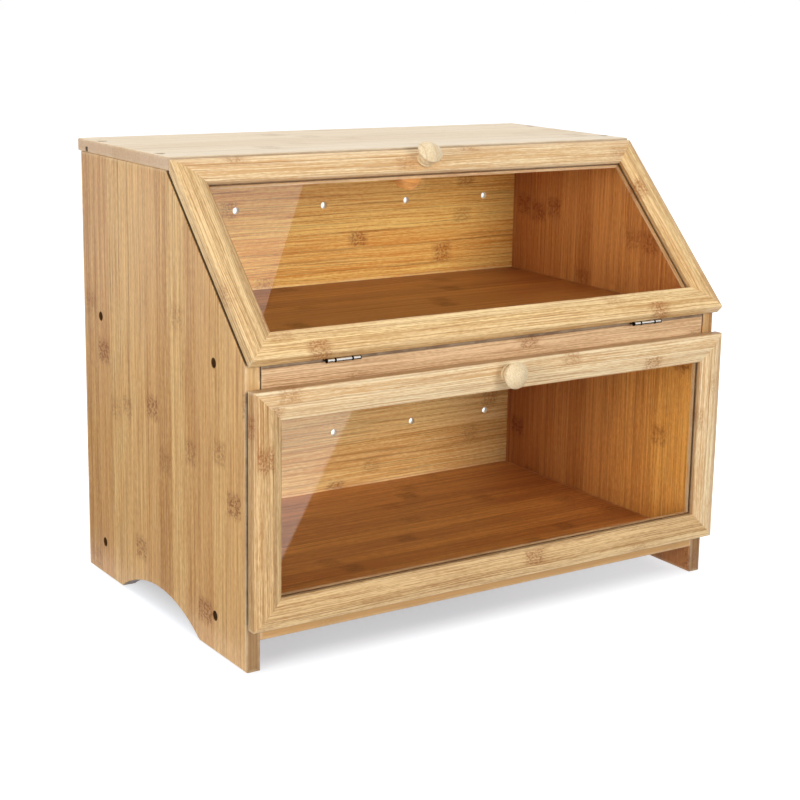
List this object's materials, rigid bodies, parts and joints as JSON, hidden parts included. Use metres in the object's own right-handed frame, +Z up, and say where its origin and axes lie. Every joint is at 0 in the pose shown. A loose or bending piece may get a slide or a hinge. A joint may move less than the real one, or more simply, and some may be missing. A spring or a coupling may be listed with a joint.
{
  "type": "bread box",
  "caption": "Two-tier bamboo bread box with a sloping upper door and an upright lower door, both framed, windowed and drop-front on butt hinges.",
  "frame": {"origin": "on the supporting surface, under the middle of the box's overall size with both doors closed", "axes": "+X across the width to the right seen from the front, +Y towards the back, +Z up"},
  "size_m": [0.39, 0.2824, 0.3253],
  "materials": {
    "bamboo_sides": "satin lacquered bamboo, upright grain",
    "bamboo_top": "satin lacquered bamboo, grain across",
    "bamboo_backs": "satin lacquered bamboo, grain across",
    "bamboo_shelves": "satin lacquered bamboo, grain across",
    "bamboo_door_frames": "satin lacquered bamboo, grain along each bar",
    "knob_wood": "turned pale wood, satin",
    "clear_acrylic": "clear, polished",
    "hinge_steel": "bright zinc plate",
    "zinc_steel": "zinc plate",
    "magnet_plating": "nickel plate"
  },
  "bodies": {
    "cabinet": {"left_side_panel": "bamboo_sides", "right_side_panel": "bamboo_sides", "top_panel": "bamboo_top", "middle_shelf": "bamboo_shelves", "middle_front_rail": "bamboo_shelves", "bottom_shelf": "bamboo_shelves", "upper_back_panel": "bamboo_backs", "lower_back_panel": "bamboo_backs", "left_panel_screws": "zinc_steel", "right_panel_screws": "zinc_steel", "top_panel_screws": "zinc_steel", "upper_catch_block": "bamboo_shelves", "upper_catch_magnet": "magnet_plating", "lower_catch_magnet": "magnet_plating", "upper_left_hinge_fixed_leaf": "hinge_steel", "upper_left_hinge_pin": "hinge_steel", "upper_right_hinge_fixed_leaf": "hinge_steel", "upper_right_hinge_pin": "hinge_steel", "upper_hinge_fixed_screws": "zinc_steel", "lower_left_hinge_fixed_leaf": "hinge_steel", "lower_left_hinge_pin": "hinge_steel", "lower_right_hinge_fixed_leaf": "hinge_steel", "lower_right_hinge_pin": "hinge_steel", "lower_hinge_fixed_screws": "zinc_steel"},
    "upper_door": {"upper_door_bottom_rail": "bamboo_door_frames", "upper_door_top_rail": "bamboo_door_frames", "upper_door_left_stile": "bamboo_door_frames", "upper_door_right_stile": "bamboo_door_frames", "upper_door_window": "clear_acrylic", "upper_door_knob": "knob_wood", "upper_door_knob_screw": "zinc_steel", "upper_door_strike_plate": "zinc_steel", "upper_door_strike_screw": "zinc_steel", "upper_left_hinge_door_leaf": "hinge_steel", "upper_right_hinge_door_leaf": "hinge_steel", "upper_hinge_door_screws": "zinc_steel"},
    "lower_door": {"lower_door_bottom_rail": "bamboo_door_frames", "lower_door_top_rail": "bamboo_door_frames", "lower_door_left_stile": "bamboo_door_frames", "lower_door_right_stile": "bamboo_door_frames", "lower_door_window": "clear_acrylic", "lower_door_knob": "knob_wood", "lower_door_knob_screw": "zinc_steel", "lower_door_strike_plate": "zinc_steel", "lower_door_strike_screw": "zinc_steel", "lower_left_hinge_door_leaf": "hinge_steel", "lower_right_hinge_door_leaf": "hinge_steel", "lower_hinge_door_screws": "zinc_steel"}
  },
  "joints": [
    {"name": "upper_door_hinge", "type": "hinge", "parent": "cabinet", "child": "upper_door", "pos_m": [0, -0.11775, 0.1996], "axis": [1, 0, 0], "range_deg": [0, 135]},
    {"name": "lower_door_hinge", "type": "hinge", "parent": "cabinet", "child": "lower_door", "pos_m": [0, -0.1156, 0.0296], "axis": [1, 0, 0], "range_deg": [0, 90]}
  ]
}
